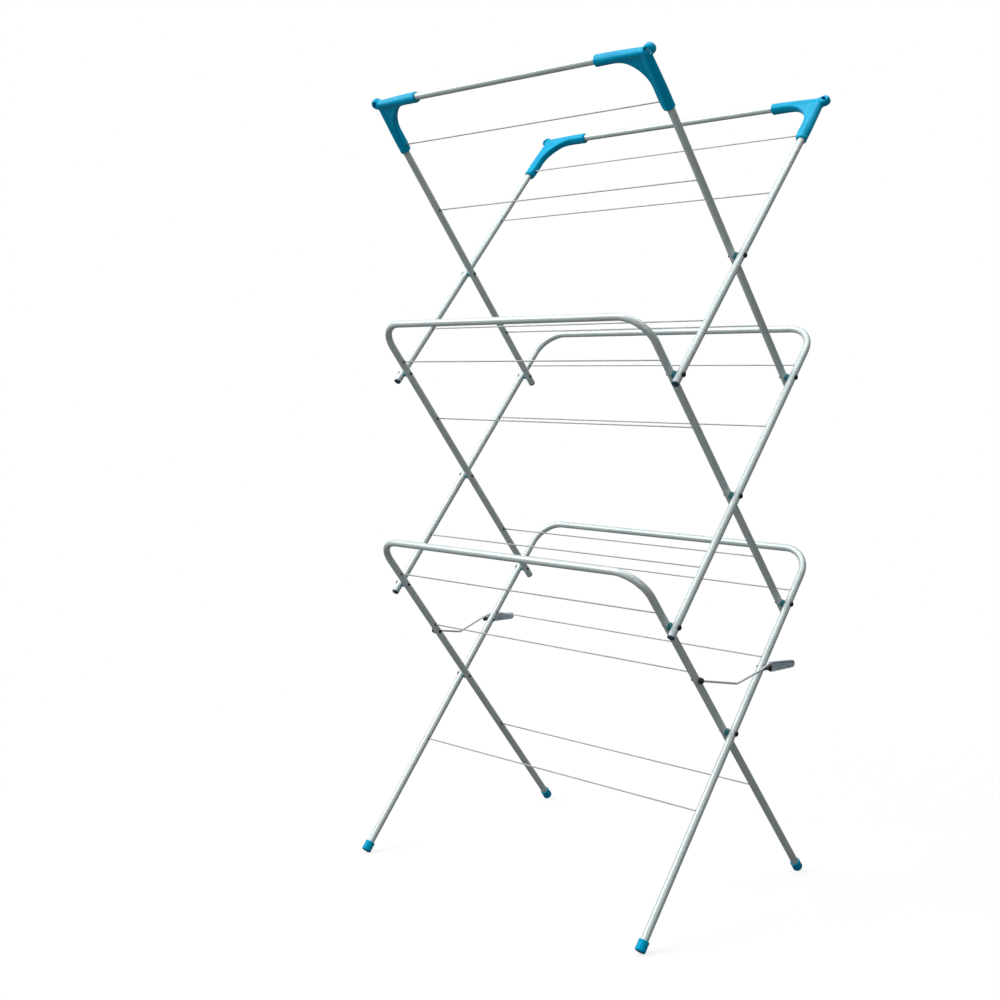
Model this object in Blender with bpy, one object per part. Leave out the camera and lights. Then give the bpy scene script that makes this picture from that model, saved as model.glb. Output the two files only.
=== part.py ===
"""Three-tier folding clothes airer: six tube frames that cross in three scissor pairs.

World frame: X runs along the drying rails, -Y is the front, +Z is up, metres.
The origin is on the floor under the middle of the rack. Each tier has a front
frame (its bar at the front, the narrower one) and a back frame (its bar at the
back, the wider one). Every frame is drawn in its own plane: x along the rails
and y up its legs, with the crossing pivot at (0, 0).
"""
import math

import bmesh
import bpy
from mathutils import Matrix, Vector

MM = 0.001

# --- driving sizes, millimetres and degrees ---------------------------------
LEG_ANGLE = 40.2          # leg to the vertical, rack open
PIVOT_REACH = 258.0       # crossing pivot to each joint pivot, along the leg
HALF_FRONT = 299.0        # middle of the rack to a front frame's leg
HALF_BACK = 316.0         # middle of the rack to a back frame's leg
TUBE_R = 6.35             # half-inch tube
TUBE_WALL = 0.8
BEND_R = 52.0             # centre line radius of the U bends
BAR_REACH = 372.5         # crossing pivot to the bar of the two lower tiers
TOP_BAR_REACH = 378.0     # the same on the top tier
STUB = 18.5               # leg left over below a joint pivot
FOOT_REACH = 382.5        # crossing pivot to the bottom of a foot cap
FOOT_R = 9.1
FOOT_LENGTH = 18.0
FOOT_FLOOR = 3.0
FOOT_FLAT = 1.2           # height of the rim that the floor plane takes off
WIRE_R = 1.2
WIRE_DROP = 86.5          # bar to the upper wire
WIRE_MID = 148.0          # crossing pivot to the middle wire
WIRE_LOW = -144.5         # crossing pivot to the lower wire
WIRE_SET_IN = 2.0         # a wire ends this far short of the leg's centre line
WIRE_HOLE_R = 1.75
RIVET_HOLE_R = 2.6
GAP = 0.3                 # clearance between pieces that touch

RIVET_R = 2.0
RIVET_HEAD_R = 4.6
RIVET_HEAD = 3.2
RIVET_TAIL_R = 2.6
RIVET_TAIL = 2.6
COLLAR_R = 5.3

SLEEVE_R = 8.7            # corner pieces
BAR_SLEEVE = 97.0
LEG_SLEEVE = 100.0
FILLET_R = 57.0           # inner arc of the web
FLANGE = 11.6             # leg centre line to the web's edge below the arc
BAR_FLANGE = 7.1          # bar centre line to the web's edge beyond the arc
WEB_HALF = 7.0
LUG_R = 9.6
LUG_OUT = 7.0             # lug centre from the corner, along the bar and along the leg
LUG_UP = 1.2
SLOT_LENGTH = 13.6
SLOT_WIDTH = 6.0
TUBE_SET_BACK = 48.0      # corner centre to the tube ends inside the sleeves

STAY_REACH = 129.0        # crossing pivot to the stay pivot and the lock peg
STAY_R = 1.9
STAY_X0 = 307.9           # stay rod at its pivot, from the middle of the rack
STAY_X1 = 322.0           # at its bend
STAY_X2 = 330.0           # over the peg and in the handle
BUSH_R = 5.0
PEG_R = 3.8
PEG_FLANGE_R = 5.2
HANDLE_X0 = 326.6
HANDLE_X1 = 333.8
HANDLE_WALL = 1.2
HANDLE_TIP = 80.0         # lock peg to the handle's tip
HANDLE_TIP_LENGTH = 6.4   # its rounded end
HANDLE_TOP = (10.0, 3.8)  # height of its top edge over the stay pivot, root and tip
HANDLE_LOW = (-7.0, -8.8)

# --- places worked out from them ---------------------------------------------
ANGLE = math.radians(LEG_ANGLE)
SIN = math.sin(ANGLE)
COS = math.cos(ANGLE)
TIER = 2.0 * PIVOT_REACH * COS
CROSS_Z = FOOT_REACH * COS + FOOT_R * SIN - FOOT_FLAT
SIDES = (("left", -1.0), ("right", 1.0))


def clear_scene():
    for obj in list(bpy.data.objects):
        bpy.data.objects.remove(obj, do_unlink=True)


def make_material(name, rgb, metallic, roughness):
    material = bpy.data.materials.new(name)
    material.use_nodes = True
    shader = material.node_tree.nodes["Principled BSDF"]
    shader.inputs["Base Color"].default_value = (*rgb, 1.0)
    shader.inputs["Metallic"].default_value = metallic
    shader.inputs["Roughness"].default_value = roughness
    material.diffuse_color = (*rgb, 1.0)
    return material


def frame_matrix(tier, back):
    """Plane of one frame: local x along the rails, y up the legs, origin at its crossing."""
    lean = SIN if back else -SIN
    up = Vector((0.0, lean, COS))
    side = Vector((1.0, 0.0, 0.0))
    out = side.cross(up)
    origin = Vector((0.0, 0.0, (CROSS_Z + tier * TIER) * MM))
    matrix = Matrix((side, up, out)).transposed().to_4x4()
    matrix.translation = origin
    return matrix


# --- mesh helpers: all lengths in millimetres ---------------------------------
def ring(bm, centre, axis_u, axis_v, radius, sides):
    points = []
    for i in range(sides):
        turn = 2.0 * math.pi * (i + 0.5) / sides
        point = centre + radius * (math.cos(turn) * axis_u + math.sin(turn) * axis_v)
        points.append(bm.verts.new(point * MM))
    return points


def bridge(bm, first, second):
    count = len(first)
    for i in range(count):
        j = (i + 1) % count
        bm.faces.new((first[i], first[j], second[j], second[i]))


def sweep_rings(bm, path, radius, sides, fixed):
    """Rings of one radius along a flat path; fixed is the normal of the path's plane."""
    rings = []
    for i, point in enumerate(path):
        before = path[max(i - 1, 0)]
        after = path[min(i + 1, len(path) - 1)]
        along = (after - before).normalized()
        rings.append(ring(bm, point, fixed, along.cross(fixed), radius, sides))
    return rings


def sweep_tube(bm, path, outer, inner, sides, fixed):
    """Hollow tube with open ends when inner > 0, else a solid rod."""
    skin = sweep_rings(bm, path, outer, sides, fixed)
    for first, second in zip(skin, skin[1:]):
        bridge(bm, first, second)
    if inner > 0.0:
        bore = sweep_rings(bm, path, inner, sides, fixed)
        for first, second in zip(bore, bore[1:]):
            bridge(bm, second, first)
        bridge(bm, bore[0], skin[0])
        bridge(bm, skin[-1], bore[-1])
    else:
        bm.faces.new(list(reversed(skin[0])))
        bm.faces.new(skin[-1])


def turn_profile(bm, profile, sides, axis, origin=Vector((0.0, 0.0, 0.0))):
    """Solid of revolution: profile is (place along axis, radius), its ends on the axis."""
    fixed = Vector((0.0, 0.0, 1.0)) if abs(axis.z) < 0.9 else Vector((1.0, 0.0, 0.0))
    axis_u = axis.cross(fixed).normalized()
    axis_v = axis.cross(axis_u)
    rings = []
    for place, radius in profile:
        centre = origin + axis * place
        if radius <= 0.0:
            rings.append([bm.verts.new(centre * MM)])
        else:
            rings.append(ring(bm, centre, axis_u, axis_v, radius, sides))
    for first, second in zip(rings, rings[1:]):
        if len(first) == 1:
            for i in range(sides):
                bm.faces.new((first[0], second[i], second[(i + 1) % sides]))
        elif len(second) == 1:
            for i in range(sides):
                bm.faces.new((first[(i + 1) % sides], first[i], second[0]))
        else:
            bridge(bm, first, second)


def add_rod(bm, start, end, radius, sides):
    axis = (end - start).normalized()
    length = (end - start).length
    turn_profile(bm, [(0.0, 0.0), (0.0, radius), (length, radius), (length, 0.0)],
                 sides, axis, start)


def add_prism(bm, outline, z0, z1):
    """Extrudes a flat outline of (x, y) points from z0 to z1."""
    low = [bm.verts.new(Vector((x, y, z0)) * MM) for x, y in outline]
    high = [bm.verts.new(Vector((x, y, z1)) * MM) for x, y in outline]
    bm.faces.new(list(reversed(low)))
    bm.faces.new(high)
    bridge(bm, low, high)


def finish_mesh(bm, name):
    bmesh.ops.recalc_face_normals(bm, faces=bm.faces)
    mesh = bpy.data.meshes.new(name)
    bm.to_mesh(mesh)
    bm.free()
    return mesh


def add_object(name, mesh, material, parent, offset=(0.0, 0.0, 0.0), smooth=True):
    obj = bpy.data.objects.new(name, mesh)
    bpy.context.collection.objects.link(obj)
    obj.parent = parent
    obj.location = Vector(offset) * MM
    if material is not None:
        mesh.materials.append(material)
    if smooth:
        mesh.shade_smooth()
        mesh.set_sharp_from_angle(angle=math.radians(35.0))
    return obj


def add_cutter(target, bm, name, operation="DIFFERENCE"):
    """Hidden tool body in the target's own frame, with a live Boolean on the target."""
    cutter = add_object(name, finish_mesh(bm, name), None, target, smooth=False)
    cutter.hide_render = True
    cutter.display_type = "WIRE"
    boolean = target.modifiers.new(name, "BOOLEAN")
    boolean.operation = operation
    boolean.solver = "EXACT"
    boolean.use_self = True
    boolean.object = cutter


def round_corner(centre, radius, start, end, steps):
    """Arc in the frame's plane, angles in degrees."""
    points = []
    for i in range(steps + 1):
        turn = math.radians(start + (end - start) * i / steps)
        points.append(centre + radius * Vector((math.cos(turn), math.sin(turn), 0.0)))
    return points


X = Vector((1.0, 0.0, 0.0))
Y = Vector((0.0, 1.0, 0.0))
Z = Vector((0.0, 0.0, 1.0))


# --- frames --------------------------------------------------------------------
def u_path(half, foot):
    """Centre line of a U: up the left leg, along the bar, down the right leg."""
    top = BAR_REACH - BEND_R
    left = round_corner(Vector((-half + BEND_R, top, 0.0)), BEND_R, 180.0, 90.0, 7)
    right = round_corner(Vector((half - BEND_R, top, 0.0)), BEND_R, 90.0, 0.0, 7)
    return [Vector((-half, foot, 0.0))] + left + right + [Vector((half, foot, 0.0))]


def wire_places(bar):
    return (bar - WIRE_DROP, WIRE_MID, WIRE_LOW)


def hole_tools(bm, half, pivots, wires, sides=(-1.0, 1.0)):
    """Through holes for rivets, and one-wall holes for wire ends in the inner wall."""
    clear = TUBE_R + 2.65
    for side in sides:
        for place in pivots:
            add_rod(bm, Vector((side * (half - clear), place, 0.0)),
                    Vector((side * (half + clear), place, 0.0)), RIVET_HOLE_R, 8)
        for place in wires:
            add_rod(bm, Vector((side * (half - clear), place, 0.0)),
                    Vector((side * half, place, 0.0)), WIRE_HOLE_R, 8)


def u_frame(name, half, foot, pivots, parent, offset, material):
    bm = bmesh.new()
    sweep_tube(bm, u_path(half, foot), TUBE_R, TUBE_R - TUBE_WALL, 12, Z)
    frame = add_object(name, finish_mesh(bm, name), material, parent, offset)
    tools = bmesh.new()
    hole_tools(tools, half, pivots, wire_places(BAR_REACH))
    add_cutter(frame, tools, name + "_holes")


def wires(prefix, half, bar, parent, offset, material):
    for label, place in zip(("upper", "middle", "lower"), wire_places(bar)):
        bm = bmesh.new()
        reach = half - WIRE_SET_IN
        add_rod(bm, Vector((-reach, place, 0.0)), Vector((reach, place, 0.0)), WIRE_R, 8)
        name = "%s_%s_wire" % (prefix, label)
        add_object(name, finish_mesh(bm, name), material, parent, offset)


def foot_cap(name, half, side, back, parent, material):
    """Cup over the leg's end; the floor plane takes a flat off its lowest rim."""
    bore = TUBE_R + GAP
    inside = FOOT_LENGTH - FOOT_FLOOR
    bm = bmesh.new()
    profile = [(0.0, bore), (0.0, FOOT_R - 0.6), (0.8, FOOT_R), (FOOT_LENGTH, FOOT_R)]
    origin = Vector((side * half, -FOOT_REACH + FOOT_LENGTH, 0.0))
    profile += [(FOOT_LENGTH, 0.0)]
    turn_profile(bm, [(inside, 0.0), (inside, bore)] + profile, 16, -Y, origin)
    cap = add_object(name, finish_mesh(bm, name), material, parent)
    lean = SIN if back else -SIN
    down = Vector((0.0, -COS, -lean))
    across = down.cross(X)
    near = Vector((side * half, -FOOT_REACH, 0.0))
    near = near + down * (CROSS_Z - near.dot(down))
    floor = bmesh.new()
    corners = []
    for depth in (0.0, 14.0):
        for a, b in ((-14.0, -14.0), (14.0, -14.0), (14.0, 14.0), (-14.0, 14.0)):
            corners.append(floor.verts.new((near + X * a + across * b + down * depth) * MM))
    floor.faces.new(list(reversed(corners[:4])))
    floor.faces.new(corners[4:])
    bridge(floor, corners[:4], corners[4:])
    add_cutter(cap, floor, name + "_floor")


# --- top tier -----------------------------------------------------------------
def corner_piece(name, half, side, parent, offset, material):
    """Moulded elbow: two sleeves, a thick filleted web between them, a slotted hanging lug."""
    centre = Vector((side * half, TOP_BAR_REACH, 0.0))
    inward = Vector((-side, 0.0, 0.0))

    def sleeve(bm, axis, length):
        turn_profile(bm, [(-1.0, 0.0), (-1.0, 5.6), (20.0, 6.5), (48.0, 7.8), (74.0, SLEEVE_R),
                          (length - 3.0, SLEEVE_R), (length, SLEEVE_R - 1.4), (length, 0.0)],
                     14, axis, centre)

    bm = bmesh.new()
    sleeve(bm, inward, BAR_SLEEVE)
    piece = add_object(name, finish_mesh(bm, name), material, parent, offset)
    more = bmesh.new()
    sleeve(more, -Y, LEG_SLEEVE)
    add_cutter(piece, more, name + "_leg_sleeve", "UNION")

    web = bmesh.new()
    across, down = FLANGE + FILLET_R, BAR_FLANGE + FILLET_R
    outline = [(-1.5, -1.5), (across + 8.0, -0.5), (across + 8.0, SLEEVE_R - 1.8)]
    for i in range(9):
        turn = math.radians(90.0 * i / 8)
        outline.append((across - FILLET_R * math.sin(turn), down - FILLET_R * math.cos(turn)))
    outline += [(FLANGE, WIRE_DROP), (SLEEVE_R - 1.0, LEG_SLEEVE - 2.5),
                (-0.5, LEG_SLEEVE - 2.5)]
    points = [(centre.x - side * a, centre.y - b) for a, b in outline]
    add_prism(web, points, -WEB_HALF, WEB_HALF)
    add_cutter(piece, web, name + "_web", "UNION")

    lug = bmesh.new()
    middle = centre + Vector((side * LUG_OUT, LUG_UP, 0.0))
    turn_profile(lug, [(-WEB_HALF, 0.0), (-WEB_HALF, LUG_R - 2.5), (-WEB_HALF + 2.5, LUG_R),
                       (WEB_HALF - 2.5, LUG_R), (WEB_HALF, LUG_R - 2.5), (WEB_HALF, 0.0)],
                 16, Z, middle)
    add_cutter(piece, lug, name + "_lug", "UNION")

    cuts = bmesh.new()
    bore = TUBE_R + GAP
    set_back = TUBE_SET_BACK - GAP
    add_rod(cuts, centre + inward * set_back, centre + inward * (BAR_SLEEVE + 5.0), bore, 14)
    add_rod(cuts, centre - Y * set_back, centre - Y * (LEG_SLEEVE + 5.0), bore, 14)
    wire = centre - Y * WIRE_DROP
    add_rod(cuts, wire, wire + inward * (FLANGE + 3.0), WIRE_HOLE_R, 8)
    along = Vector((side, -1.0, 0.0)).normalized()
    outward = Vector((side, 1.0, 0.0)).normalized()
    slot = []
    half_slot = 0.5 * (SLOT_LENGTH - SLOT_WIDTH)
    for end in (1.0, -1.0):
        for i in range(7):
            turn = math.radians(-90.0 + 30.0 * i) + (0.0 if end > 0 else math.pi)
            spot = middle + along * (end * half_slot + 0.5 * SLOT_WIDTH * math.cos(turn))
            spot = spot + outward * (0.5 * SLOT_WIDTH * math.sin(turn))
            slot.append((spot.x, spot.y))
    add_prism(cuts, slot, -14.0, 14.0)
    add_cutter(piece, cuts, name + "_bores")


def top_frame(prefix, half, parent, offset, plastic, coating, steel):
    reach = half - TUBE_SET_BACK
    bm = bmesh.new()
    bar = [Vector((x, TOP_BAR_REACH, 0.0)) for x in (-reach, reach)]
    sweep_tube(bm, bar, TUBE_R, TUBE_R - TUBE_WALL, 12, Z)
    add_object(prefix + "_bar", finish_mesh(bm, prefix), coating, parent, offset)
    for label, side in SIDES:
        bm = bmesh.new()
        ends = (-PIVOT_REACH - STUB, TOP_BAR_REACH - TUBE_SET_BACK)
        leg = [Vector((side * half, y, 0.0)) for y in ends]
        sweep_tube(bm, leg, TUBE_R, TUBE_R - TUBE_WALL, 12, Z)
        name = "%s_leg_%s" % (prefix, label)
        tube = add_object(name, finish_mesh(bm, name), coating, parent, offset)
        tools = bmesh.new()
        hole_tools(tools, half, (0.0, -PIVOT_REACH), wire_places(TOP_BAR_REACH), (side,))
        add_cutter(tube, tools, name + "_holes")
        corner_piece("%s_corner_%s" % (prefix, label), half, side, parent, offset, plastic)
    wires(prefix, half, TOP_BAR_REACH, parent, offset, steel)


# --- pivots ----------------------------------------------------------------------
def rivet(name, side, place, parent, offset, material):
    """Rivet through a back leg and a front leg, with the collar that keeps them apart."""
    inside = HALF_FRONT - TUBE_R - GAP
    gap_in = HALF_FRONT + TUBE_R + GAP
    gap_out = HALF_BACK - TUBE_R - GAP
    outside = HALF_BACK + TUBE_R + GAP
    profile = [(inside - RIVET_TAIL, 0.0), (inside - RIVET_TAIL, RIVET_TAIL_R - 0.7),
               (inside, RIVET_TAIL_R), (inside, RIVET_R), (gap_in, RIVET_R),
               (gap_in, COLLAR_R), (gap_out, COLLAR_R), (gap_out, RIVET_R),
               (outside, RIVET_R), (outside, RIVET_HEAD_R),
               (outside + 0.55 * RIVET_HEAD, RIVET_HEAD_R * 0.86),
               (outside + RIVET_HEAD, RIVET_HEAD_R * 0.4), (outside + RIVET_HEAD, 0.0)]
    bm = bmesh.new()
    turn_profile(bm, profile, 10, side * X, Vector((0.0, place, 0.0)))
    add_object(name, finish_mesh(bm, name), material, parent, offset)


# --- stays ------------------------------------------------------------------------
def stay_rod(name, side, parent, material):
    """Bent rod: in through the leg, along to its bend, over the peg, into the handle."""
    tail = HALF_FRONT - TUBE_R - GAP
    reach = 2.0 * STAY_REACH * SIN
    over = PEG_R + STAY_R + GAP
    path = [(tail - 2.4, 0.0, 0.0), (STAY_X0 - 2.5, 0.0, 0.0), (STAY_X0 - 0.7, 0.9, -0.1),
            (STAY_X0, 2.7, -0.4), (STAY_X1 - 0.4, 79.0, -14.2), (STAY_X1, 84.0, -14.6),
            (STAY_X1 + 0.4, 89.0, -13.6), (STAY_X2, reach - 22.0, 0.0),
            (STAY_X2, reach - 2.0, over), (STAY_X2, reach + 4.0, over + 0.4),
            (STAY_X2, reach + 10.0, over - 0.6), (STAY_X2, reach + 58.0, 0.2)]
    points = [Vector((side * x, y, z)) for x, y, z in path]
    bm = bmesh.new()
    rings = []
    for i, point in enumerate(points):
        before = points[max(i - 1, 0)]
        after = points[min(i + 1, len(points) - 1)]
        along = (after - before).normalized()
        across = along.cross(Z).normalized()
        rings.append(ring(bm, point, across, along.cross(across), STAY_R, 10))
    for first, second in zip(rings, rings[1:]):
        bridge(bm, first, second)
    bm.faces.new(list(reversed(rings[0])))
    bm.faces.new(rings[-1])
    add_object(name, finish_mesh(bm, name), material, parent)


def stay_bush(name, side, parent, material):
    """Cap that turns with the rod and holds it off the leg; the rod leaves by a side slot."""
    start = HALF_FRONT + TUBE_R + GAP
    end = STAY_X0 + STAY_R + 1.6
    bm = bmesh.new()
    turn_profile(bm, [(start, 0.0), (start, BUSH_R), (end - 1.2, BUSH_R), (end, BUSH_R - 1.2),
                      (end, 0.0)], 14, side * X)
    bush = add_object(name, finish_mesh(bm, name), material, parent)
    cuts = bmesh.new()
    room = STAY_R + GAP
    add_rod(cuts, Vector((side * (start - 2.0), 0.0, 0.0)),
            Vector((side * (STAY_X0 + room), 0.0, 0.0)), room + 0.1, 10)
    slot = [(-room, -room), (8.0, -room - 1.0), (8.0, room - 0.2), (-room, room)]
    low = STAY_X0 - 4.0 - room
    high = STAY_X0 + room + 0.6
    ends = [[cuts.verts.new(Vector((side * x, y, z)) * MM) for y, z in slot]
            for x in (low, high)]
    cuts.faces.new(ends[0])
    cuts.faces.new(list(reversed(ends[1])))
    bridge(cuts, ends[0], ends[1])
    add_cutter(bush, cuts, name + "_bore")


def handle_outline(inset):
    """Side outline of the handle as (y, z) from the stay pivot, drawn in by inset."""
    root = 2.0 * STAY_REACH * SIN + PEG_FLANGE_R + 1.0
    shoulder = 2.0 * STAY_REACH * SIN + HANDLE_TIP - HANDLE_TIP_LENGTH
    top_root, top_tip = (height - inset for height in HANDLE_TOP)
    low_root, low_tip = (height + inset for height in HANDLE_LOW)
    start = root - 5.0 if inset else root
    outline = [(start, low_root), (shoulder, low_tip)]
    middle = 0.5 * (top_tip + low_tip)
    for i in range(1, 6):
        turn = math.radians(-90.0 + 30.0 * i)
        outline.append((shoulder + (HANDLE_TIP_LENGTH - inset) * math.cos(turn),
                        middle + (0.5 * (top_tip - low_tip)) * math.sin(turn)))
    outline += [(shoulder, top_tip), (start, top_root)]
    return outline


def handle_prism(side, outline, x0, x1):
    bm = bmesh.new()
    low = [bm.verts.new(Vector((side * x0, y, z)) * MM) for y, z in outline]
    high = [bm.verts.new(Vector((side * x1, y, z)) * MM) for y, z in outline]
    bm.faces.new(list(reversed(low)))
    bm.faces.new(high)
    bridge(bm, low, high)
    return bm


def stay_handle(name, side, parent, material):
    """Channel, open outwards, that the rod ends in; its root bears on the lock peg."""
    bm = handle_prism(side, handle_outline(0.0), HANDLE_X0, HANDLE_X1)
    handle = add_object(name, finish_mesh(bm, name), material, parent)
    pocket = handle_prism(side, handle_outline(HANDLE_WALL), HANDLE_X0 + HANDLE_WALL,
                          HANDLE_X1 + 2.0)
    add_cutter(handle, pocket, name + "_pocket")


def lock_peg(name, side, parent, material):
    """Flanged peg riveted through the back leg; the stay rests in its groove."""
    inside = HALF_BACK - TUBE_R - GAP
    outside = HALF_BACK + TUBE_R + GAP
    profile = [(inside - 2.0, 0.0), (inside - 2.0, 2.0), (inside, RIVET_TAIL_R),
               (inside, RIVET_R), (outside, RIVET_R), (outside, PEG_FLANGE_R),
               (outside + 1.8, PEG_FLANGE_R), (outside + 1.8, PEG_R),
               (STAY_X2 + STAY_R + 0.9, PEG_R), (STAY_X2 + STAY_R + 0.9, PEG_FLANGE_R),
               (STAY_X2 + STAY_R + 3.0, PEG_FLANGE_R - 0.6), (STAY_X2 + STAY_R + 3.0, 0.0)]
    bm = bmesh.new()
    turn_profile(bm, profile, 12, side * X, Vector((0.0, STAY_REACH, 0.0)))
    add_object(name, finish_mesh(bm, name), material, parent)


def body_empty(name, parent, matrix):
    empty = bpy.data.objects.new(name, None)
    empty.empty_display_size = 0.03
    bpy.context.collection.objects.link(empty)
    empty.parent = parent
    bpy.context.view_layer.update()
    empty.matrix_world = matrix
    bpy.context.view_layer.update()
    return empty


def build():
    clear_scene()
    coating = make_material("tube_coating", (0.50, 0.57, 0.56), 0.35, 0.38)
    steel = make_material("wire_coating", (0.40, 0.40, 0.40), 0.4, 0.42)
    plastic = make_material("corner_plastic", (0.0, 0.38, 0.56), 0.0, 0.32)
    black = make_material("rivet_black", (0.012, 0.014, 0.014), 0.0, 0.35)
    rod_steel = make_material("stay_steel", (0.34, 0.37, 0.38), 0.6, 0.36)
    grip = make_material("handle_coating", (0.36, 0.44, 0.50), 0.3, 0.42)

    crossing = [[frame_matrix(tier, back) for back in (False, True)] for tier in range(3)]
    at_joint = Matrix.Translation((0.0, -PIVOT_REACH * MM, 0.0))
    lift = (0.0, PIVOT_REACH, 0.0)

    lower_front = body_empty("lower_front", None, crossing[0][0])
    lower_back = body_empty("lower_back", lower_front, crossing[0][1])
    middle_front = body_empty("middle_front", lower_back, crossing[1][0] @ at_joint)
    middle_back = body_empty("middle_back", lower_front, crossing[1][1] @ at_joint)
    upper_front = body_empty("upper_front", middle_back, crossing[2][0] @ at_joint)
    upper_back = body_empty("upper_back", middle_front, crossing[2][1] @ at_joint)

    foot = -FOOT_REACH + FOOT_FLOOR + GAP
    pivots = (0.0, PIVOT_REACH)
    u_frame("lower_front_frame", HALF_FRONT, foot, pivots + (STAY_REACH,), lower_front,
            (0.0, 0.0, 0.0), coating)
    u_frame("lower_back_frame", HALF_BACK, foot, pivots + (STAY_REACH,), lower_back,
            (0.0, 0.0, 0.0), coating)
    wires("lower_front", HALF_FRONT, BAR_REACH, lower_front, (0.0, 0.0, 0.0), steel)
    wires("lower_back", HALF_BACK, BAR_REACH, lower_back, (0.0, 0.0, 0.0), steel)
    stub = -PIVOT_REACH - STUB
    pivots = (-PIVOT_REACH, 0.0, PIVOT_REACH)
    u_frame("middle_front_frame", HALF_FRONT, stub, pivots, middle_front, lift, coating)
    u_frame("middle_back_frame", HALF_BACK, stub, pivots, middle_back, lift, coating)
    wires("middle_front", HALF_FRONT, BAR_REACH, middle_front, lift, steel)
    wires("middle_back", HALF_BACK, BAR_REACH, middle_back, lift, steel)
    top_frame("upper_front", HALF_FRONT, upper_front, lift, plastic, coating, steel)
    top_frame("upper_back", HALF_BACK, upper_back, lift, plastic, coating, steel)

    for label, side in SIDES:
        foot_cap("foot_back_" + label, HALF_FRONT, side, False, lower_front, plastic)
        foot_cap("foot_front_" + label, HALF_BACK, side, True, lower_back, plastic)
        lock_peg("lock_peg_" + label, side, lower_back, black)
        here = (0.0, 0.0, 0.0)
        rivet("lower_cross_rivet_" + label, side, 0.0, lower_back, here, black)
        rivet("back_joint_low_rivet_" + label, side, PIVOT_REACH, lower_back, here, black)
        rivet("front_joint_low_rivet_" + label, side, -PIVOT_REACH, middle_back, lift, black)
        rivet("middle_cross_rivet_" + label, side, 0.0, middle_back, lift, black)
        rivet("back_joint_high_rivet_" + label, side, PIVOT_REACH, middle_back, lift, black)
        rivet("front_joint_high_rivet_" + label, side, -PIVOT_REACH, upper_back, lift, black)
        rivet("upper_cross_rivet_" + label, side, 0.0, upper_back, lift, black)

        pivot = Vector((0.0, -STAY_REACH * SIN, CROSS_Z + STAY_REACH * COS)) * MM
        stay = body_empty("stay_" + label, lower_front, Matrix.Translation(pivot))
        stay_rod("stay_rod_" + label, side, stay, rod_steel)
        stay_bush("stay_bush_" + label, side, stay, black)
        stay_handle("stay_handle_" + label, side, stay, grip)


build()
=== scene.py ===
"""Looks of a three-tier folding clothes airer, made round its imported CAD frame.

Every shape is computed in millimetres in the CAD frame: X along the rails, -Y the front,
Z up, the origin on the floor under the middle. Pivots, wires, bars, stays and pegs are read
from the frame. A tube frame lies in a plane of its own, and its shapes are written as
x along the rails, v up its legs from the crossing pivot and w along the plane's normal.
"""
import math

import bmesh
import bpy
import numpy as np
from mathutils import Matrix, Vector


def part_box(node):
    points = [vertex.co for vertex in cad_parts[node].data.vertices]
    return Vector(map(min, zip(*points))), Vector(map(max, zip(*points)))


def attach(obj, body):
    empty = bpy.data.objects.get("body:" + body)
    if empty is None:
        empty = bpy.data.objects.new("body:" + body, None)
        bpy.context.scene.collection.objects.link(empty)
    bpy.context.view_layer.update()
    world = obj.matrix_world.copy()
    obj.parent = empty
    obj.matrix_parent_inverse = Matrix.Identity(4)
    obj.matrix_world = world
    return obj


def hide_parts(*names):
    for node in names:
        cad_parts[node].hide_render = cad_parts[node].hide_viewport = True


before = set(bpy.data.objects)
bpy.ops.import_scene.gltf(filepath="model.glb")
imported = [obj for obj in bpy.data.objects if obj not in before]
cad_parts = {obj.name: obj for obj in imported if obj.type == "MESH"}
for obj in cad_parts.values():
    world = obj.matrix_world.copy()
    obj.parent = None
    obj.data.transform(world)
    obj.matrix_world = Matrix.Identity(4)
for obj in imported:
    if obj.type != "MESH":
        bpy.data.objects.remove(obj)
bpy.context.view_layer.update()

# --- sizes, millimetres ---------------------------------------------------------
MM = 0.001
TUBE_R = 6.35             # half-inch tube
TUBE_WALL = 0.8
BEND_R = 52.0
BAR_REACH = 372.5         # crossing pivot to the bar of a U frame
FOOT_REACH = 382.5        # crossing pivot to the bottom of a foot cap
FOOT_R = 9.1
FOOT_LENGTH = 18.0
FOOT_FLOOR = 3.0
STUB = 18.5               # leg left over below a joint pivot
WIRE_R = 1.2
WIRE_HOLE_R = 1.35
WIRE_SET_IN = 2.0         # a wire ends this far short of the leg's centre line
SOCKET = 48.0             # corner centre to the tube ends inside a corner piece

X = np.array((1.0, 0.0, 0.0))
Z = np.array((0.0, 0.0, 1.0))
SIDES = (("left", -1.0), ("right", 1.0))
TIERS = ("lower", "middle", "upper")
FACES = ("front", "back")


# --- places read from the frame ---------------------------------------------------
def unit(vector):
    """The vector divided by its length."""
    return vector / np.linalg.norm(vector)


def middle(node):
    """Centre of a CAD node's box, in millimetres."""
    low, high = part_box(node)
    return 0.5 * (np.array(low) + np.array(high)) / MM


def on_axis(node):
    """The same point moved to x = 0: where that pivot's axis meets the rack's middle."""
    return middle(node) * (0.0, 1.0, 1.0)


CROSSING = {tier: on_axis(tier + "_cross_rivet_right") for tier in TIERS}
PIVOT_REACH = np.linalg.norm(on_axis("back_joint_low_rivet_right") - CROSSING["lower"])
UP_BACK = unit(on_axis("back_joint_low_rivet_right") - CROSSING["lower"])
UP = {"back": UP_BACK, "front": UP_BACK * (1.0, -1.0, 1.0)}
HALF = {face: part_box("lower_%s_middle_wire" % face)[1][0] / MM + WIRE_SET_IN for face in FACES}


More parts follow.
